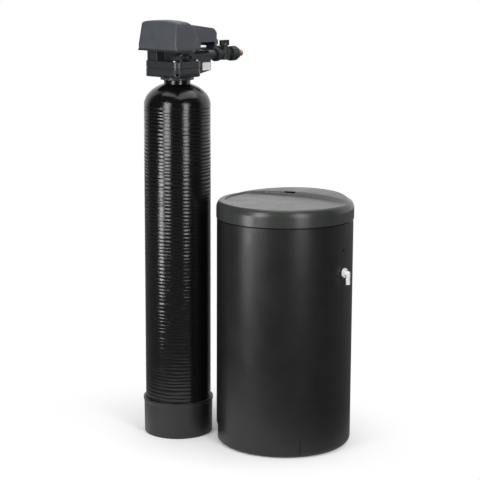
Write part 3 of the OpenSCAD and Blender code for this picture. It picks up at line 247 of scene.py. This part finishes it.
# Seals: O-rings, seal rings and gaskets.
# Black EPDM rubber, moulded, dull with a dusty bloom.
epdm, tree, shader, place = finish_named("EPDM rubber", "#151515", 0.65)
bloom = add(tree, "TexNoise", {"Vector": place}, Scale=1 / (3 * MM), Detail=3)
dull(tree, shader, bloom.outputs["Fac"], least=0.55, most=0.8)
dress(epdm, "neck_seal", "riser_seal", "seal_rings", "inlet_rotor_seals", "outlet_rotor_seals",
      "pipe_seals", "overflow_gasket")


# Valve body and the pieces of its family: collar, injector cap, fittings, chassis and timer case.
# Dark grey glass-filled PPO, moulded; the fibres leave a faint streaky mottle and a low sheen.
ppo, tree, shader, place = finish_named("Glass-filled PPO", "#303336", 0.3)
streak = stretched(tree, place, 9 * MM, 3 * MM, 5 * MM)
fibres = add(tree, "TexNoise", {"Vector": streak}, Scale=1, Detail=6, Roughness=0.7)
tint(tree, shader, fibres.outputs["Fac"], low="#27292c", high="#383b3e")
dull(tree, shader, fibres.outputs["Fac"], least=0.22, most=0.38, start=0.3, end=0.7)
emboss(tree, shader, fibres.outputs["Fac"], strength=0.15, depth=0.3 * MM, edge=3 * MM)
dress(ppo, "valve_body", "neck_collar", "injector_cap", "brine_line_fitting", "drain_fitting",
      "drive_chassis", "timer_case")


# Screws, shafts, the motor's can and the rods.
# Plain stainless steel, turned or drawn, with fine lines.
stainless, tree, shader, place = finish_named("Stainless steel", "#c4c6c9", 0.28, metallic=1)
drawn = stretched(tree, place, 6 * MM, 6 * MM, 0.5 * MM)
lines = add(tree, "TexNoise", {"Vector": drawn}, Scale=1, Detail=3)
dull(tree, shader, lines.outputs["Fac"], least=0.18, most=0.4)
dress(stainless, "body_screws", "injector_screws", "chassis_screws", "motor_screws", "drive_motor",
      "motor_pinion", "drive_shaft", "piston_rod", "float_rod")


# Piston: slides in the stack of seals and spacers to send the water where it is wanted.
# Turned from brass bar, bright with faint turning marks.
brass, tree, shader, place = finish_named("Turned brass", "#d8b45c", 0.22, metallic=1)
turned = stretched(tree, place, 20 * MM, 20 * MM, 0.4 * MM)
lines = add(tree, "TexNoise", {"Vector": turned}, Scale=1, Detail=2)
dull(tree, shader, lines.outputs["Fac"], least=0.15, most=0.32)
dress(brass, "piston")


# Label: a bare plate stuck on the side of the valve's rear housing.
# White coated paper with rounded corners, almost even in tone.
label_size, label_corner = (0.4 * MM, 40 * MM, 27 * MM), 2 * MM
label_at = (46.2 * MM, 98 * MM, 1292 * MM)
label = bmesh.new()
bmesh.ops.create_cube(label, size=1)
bmesh.ops.scale(label, verts=label.verts, vec=label_size)
bmesh.ops.translate(label, verts=label.verts, vec=label_at)
through = [e for e in label.edges if abs(e.verts[0].co.x - e.verts[1].co.x) > label_size[0] / 2]
bmesh.ops.bevel(label, geom=through, offset=label_corner, affect="EDGES", segments=4, profile=0.5,
                material=-1)
paper, tree, shader, place = finish_named("Coated label paper", "#f8f8f8", 0.5)
fleck = add(tree, "TexNoise", {"Vector": place}, Scale=1 / (2 * MM), Detail=4)
tint(tree, shader, fleck.outputs["Fac"], low="#f3f4f4", high="#fdfdfc")
piece("blank_label", label, paper, "softener", "white_plastic")


# White plastic: the overflow elbow and its nut, the knob, the dial, the injector, the brine pick-up
# and its float. PVC and ABS, moulded, with a low gloss.
pvc, tree, shader, place = finish_named("White PVC", "#f0f1f0", 0.32)
cloud = add(tree, "TexNoise", {"Vector": place}, Scale=1 / (10 * MM), Detail=3)
tint(tree, shader, cloud.outputs["Fac"], low="#eaebea", high="#f5f6f5")
dress(pvc, "overflow_elbow", "overflow_nut", "regen_knob", "timer_dial", "injector_throat",
      "injector_screen", "brine_pickup", "float")


# Hood: the moulded cover over the drive and the timer, lifted off by hand.
# Charcoal ABS with a leathery mould grain, a little clouded in tone and sheen.
# The CAD hood has a flat top; here it is drawn down towards the sides, so that it is crowned.
hood_mid_z, hood_top_z, hood_half = 1395 * MM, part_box("hood")[1].z, 82 * MM
crown, strip, strips_a_side = 6 * MM, 8 * MM, 10
cover = bmesh.new()
cover.from_mesh(nodes["hood"].data)
bmesh.ops.remove_doubles(cover, verts=cover.verts, dist=0.02 * MM)
for k in range(-strips_a_side, strips_a_side + 1):
    bmesh.ops.bisect_plane(cover, geom=cover.verts[:] + cover.edges[:] + cover.faces[:], dist=0.01 * MM,
                           plane_co=(k * strip, 0, 0), plane_no=(1, 0, 0))
for v in cover.verts:
    rise = min(1, max(0, (v.co.z - hood_mid_z) / (hood_top_z - hood_mid_z)))
    v.co.z -= crown * rise * min(1, (v.co.x / hood_half) ** 2)
hood_abs, tree, shader, place = finish_named("Hood ABS, leather grain", "#484b50", 0.48)
pebble = add(tree, "TexVoronoi", {"Vector": place}, Scale=1 / (1.8 * MM), feature="SMOOTH_F1")
emboss(tree, shader, pebble.outputs["Distance"], strength=0.18, depth=0.25 * MM, edge=3 * MM)
cloud = add(tree, "TexNoise", {"Vector": place}, Scale=1 / (35 * MM), Detail=5)
tint(tree, shader, cloud.outputs["Fac"], low="#43464b", high="#4c4f54")
dull(tree, shader, cloud.outputs["Fac"], least=0.42, most=0.54, start=0.3, end=0.7)
piece("hood_cover", cover, hood_abs, "hood", "hood_plastic", "hood", crease=30, even=True)


# Bypass: body, ring nuts, retainers and the two turning handles.
# Near-black glass-filled nylon, moulded, duller than the valve.
nylon, tree, shader, place = finish_named("Glass-filled nylon", "#2b2d2f", 0.45)
fibres = add(tree, "TexNoise", {"Vector": place}, Scale=1 / (4 * MM), Detail=6, Roughness=0.7)
tint(tree, shader, fibres.outputs["Fac"], low="#1e2022", high="#2e3133")
dull(tree, shader, fibres.outputs["Fac"], least=0.38, most=0.54, start=0.3, end=0.7)
emboss(tree, shader, fibres.outputs["Fac"], strength=0.15, depth=0.3 * MM, edge=1.2 * MM)
dress(nylon, "bypass_body", "union_nuts", "tube_nuts", "inlet_handle", "outlet_handle", "rotor_retainers")


# Copper stubs: two lengths of hard-drawn 22 mm tube that the house pipes are joined to.
# Bright copper with a thin brown tarnish.
copper, tree, shader, place = finish_named("Drawn copper", "#d9a283", 0.3, metallic=1)
tarnish = add(tree, "TexNoise", {"Vector": place}, Scale=1 / (9 * MM), Detail=5, Roughness=0.65)
tint(tree, shader, tarnish.outputs["Fac"], low="#c98d6c", high="#e6b497")
dull(tree, shader, tarnish.outputs["Fac"], least=0.2, most=0.42)
dress(copper, "copper_tubes")


# Brine tank, the brine well in it and the well's cap.
# Black polyethylene, rotation moulded, with a soft orange peel and a waxy sheen.
polyethylene, tree, shader, place = finish_named("Rotomoulded polyethylene", "#181819", 0.36)
peel = add(tree, "TexNoise", {"Vector": place}, Scale=1 / (5 * MM), Detail=2)
emboss(tree, shader, peel.outputs["Fac"], strength=0.1, depth=0.4 * MM)
cloud = add(tree, "TexNoise", {"Vector": place}, Scale=1 / (70 * MM), Detail=6, Roughness=0.6)
tint(tree, shader, cloud.outputs["Fac"], low="#141415", high="#1c1c1d")
dull(tree, shader, cloud.outputs["Fac"], least=0.31, most=0.41, start=0.3, end=0.7)
dress(polyethylene, "brine_tank", "brine_well", "well_cap")


# Lid of the brine tank: lies loose on its rim and is lifted off to add salt.
# The same polyethylene, but injection moulded, so it is smoother; its base colour is painted lighter than
# the tank's, painted light that stands in for the sheen its top catches.
# The CAD lid has a low rim and a high step; here its rim and panel are raised, so that the step is lower.
lid_low, lid_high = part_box("brine_lid")
lid_seat, lid_rim, lid_lift = lid_low.z + 35.5 * MM, lid_low.z + 48 * MM, 10 * MM
cap = bmesh.new()
cap.from_mesh(nodes["brine_lid"].data)
bmesh.ops.remove_doubles(cap, verts=cap.verts, dist=0.02 * MM)
for v in cap.verts:
    if v.co.z > lid_rim:
        v.co.z += lid_lift * (lid_high.z - v.co.z) / (lid_high.z - lid_rim)
    elif v.co.z > lid_seat:
        v.co.z += lid_lift * (v.co.z - lid_seat) / (lid_rim - lid_seat)
# The base colour here is painted light: the lid is the same black as the tank.
lid_pe, tree, shader, place = finish_named("Injection-moulded polyethylene", "#343634", 0.24)
mist = add(tree, "TexNoise", {"Vector": place}, Scale=1 / (55 * MM), Detail=5)
dull(tree, shader, mist.outputs["Fac"], least=0.26, most=0.34, start=0.3, end=0.7)
piece("lid_cap", cap, lid_pe, "brine_lid", "brine_polyethylene", "brine_lid", crease=30, even=True)


# Check ball: loose in the air check, where it floats up to let brine through.
# Red acetal, moulded, with a faint swirl in its gloss.
ball_plastic, tree, shader, place = finish_named("Red acetal", "#b23a2c", 0.3)
swirl = add(tree, "TexNoise", {"Vector": place}, Scale=1 / (6 * MM), Detail=3, Distortion=1)
dull(tree, shader, swirl.outputs["Fac"], least=0.22, most=0.4)
dress(ball_plastic, "check_ball")


# Studio: a white floor that fades to the white backdrop and keeps the shadow near the tanks.
# Two tall softboxes, a low one and one overhead light the object.
# The camera sees a white world; in reflections it is bright only behind the object.
floor_r, fade_from, fade_to, floor_lift, mirrored_share = 8.0, 0.3, 0.8, 0.07, 0.17
centre = Vector((0.15, -0.05, 0))
ground = bmesh.new()
bmesh.ops.create_circle(ground, cap_ends=True, segments=96, radius=floor_r)
bmesh.ops.translate(ground, verts=ground.verts, vec=centre)
mesh = bpy.data.meshes.new("studio_floor")
ground.to_mesh(mesh)
ground.free()
floor = bpy.data.objects.new("studio_floor", mesh)
bpy.context.scene.collection.objects.link(floor)
sweep, tree, shader, place = finish_named("White sweep", "#fafafa", 0.9)
mesh.materials.append(sweep)
away = add(tree, "VectorMath", {0: place}, operation="DISTANCE")
away.inputs[1].default_value = centre
fade = add(tree, "MapRange", {"Value": away.outputs["Value"]}, From_Min=fade_from, From_Max=fade_to,
           interpolation_type="SMOOTHSTEP")
seen = add(tree, "LightPath")
shown = add(tree, "Math", {0: seen.outputs["Is Glossy Ray"], 2: seen.outputs["Is Camera Ray"]},
            operation="MULTIPLY_ADD")
shown.inputs[1].default_value = mirrored_share
glow = add(tree, "Emission", {"Strength": shown.outputs["Value"]})
lift = add(tree, "Math", {0: seen.outputs["Is Camera Ray"]}, operation="MULTIPLY")
lift.inputs[1].default_value = floor_lift
gleam = add(tree, "Emission", {"Strength": lift.outputs["Value"]})
lit = add(tree, "AddShader", {0: shader.outputs["BSDF"], 1: gleam.outputs["Emission"]})
mixed = add(tree, "MixShader", {"Fac": fade.outputs["Result"], 1: lit.outputs["Shader"],
                                2: glow.outputs["Emission"]})
tree.links.new(mixed.outputs["Shader"], tree.nodes["Material Output"].inputs["Surface"])


def softbox(name, spot, aim, width, height, power):
    """A rectangular studio lamp that faces a point."""
    lamp = bpy.data.lights.new(name, "AREA")
    lamp.shape = "RECTANGLE"
    lamp.size, lamp.size_y, lamp.energy = width, height, power
    holder = bpy.data.objects.new(name, lamp)
    holder.location = spot
    holder.rotation_euler = (Vector(aim) - Vector(spot)).to_track_quat("-Z", "Y").to_euler()
    bpy.context.scene.collection.objects.link(holder)


softbox("Left softbox", (0.31, -1.98, 1.38), (0.0, 0.0, 0.9), 0.7, 1.6, 25)
softbox("Low left softbox", (-0.45, -1.95, 0.5), (0.0, 0.0, 0.5), 0.5, 0.5, 9)
softbox("Right softbox", (2.11, -0.63, 1.3), (0.1, 0.0, 0.8), 0.6, 1.6, 18)
softbox("Overhead softbox", (0.2, 0.3, 3.2), (0.2, 0.1, 0.0), 2.6, 2.6, 36)

behind, behind_from, behind_to, dim, ambient_level = (-0.5, 0.866, 0), 0.05, 0.55, 0.02, 0.4
white = (1, 1, 1, 1)
world = bpy.data.worlds.new("Studio")
bpy.context.scene.world = world
world.use_nodes = True
tree = world.node_tree
tree.nodes.clear()
seen = add(tree, "LightPath")
heading = add(tree, "VectorMath", {0: add(tree, "TexCoord").outputs["Generated"]}, operation="DOT_PRODUCT")
heading.inputs[1].default_value = behind
beyond = add(tree, "MapRange", {"Value": heading.outputs["Value"]},
             From_Min=behind_from, From_Max=behind_to, To_Min=dim, interpolation_type="SMOOTHSTEP")
shown = add(tree, "Math", {0: seen.outputs["Is Camera Ray"], 1: beyond.outputs["Result"]},
            operation="MAXIMUM")
mirrored = add(tree, "Math", {0: seen.outputs["Is Glossy Ray"], 1: seen.outputs["Is Transmission Ray"]},
               operation="MAXIMUM")
direct = add(tree, "Math", {0: seen.outputs["Is Camera Ray"], 1: mirrored.outputs["Value"]},
             operation="MAXIMUM")
ambient = add(tree, "Background", Strength=ambient_level)
ambient.inputs["Color"].default_value = white
backdrop = add(tree, "Background", {"Strength": shown.outputs["Value"]})
backdrop.inputs["Color"].default_value = white
either = add(tree, "MixShader", {"Fac": direct.outputs["Value"], 1: ambient.outputs["Background"],
                                 2: backdrop.outputs["Background"]})
add(tree, "OutputWorld", {"Surface": either.outputs["Shader"]})
bpy.context.scene.view_settings.view_transform = "Standard"


# Camera: the photograph's place, 5.2 m off and a little above the head of the tank.
# A long lens, with no shift.
focal, sensor = 113.39, 36
tilt, yaw, roll = math.radians(79.295), math.radians(42.007), math.radians(0.22)
lens = bpy.data.cameras.new("Camera")
lens.lens, lens.sensor_width = focal, sensor
eye = bpy.data.objects.new("Camera", lens)
eye.location = (3.6417, -3.7183, 1.6727)
level = Euler((tilt, 0, yaw)).to_matrix()
eye.rotation_euler = (level @ Matrix.Rotation(roll, 3, "Z")).to_euler()
bpy.context.scene.collection.objects.link(eye)
bpy.context.scene.camera = eye
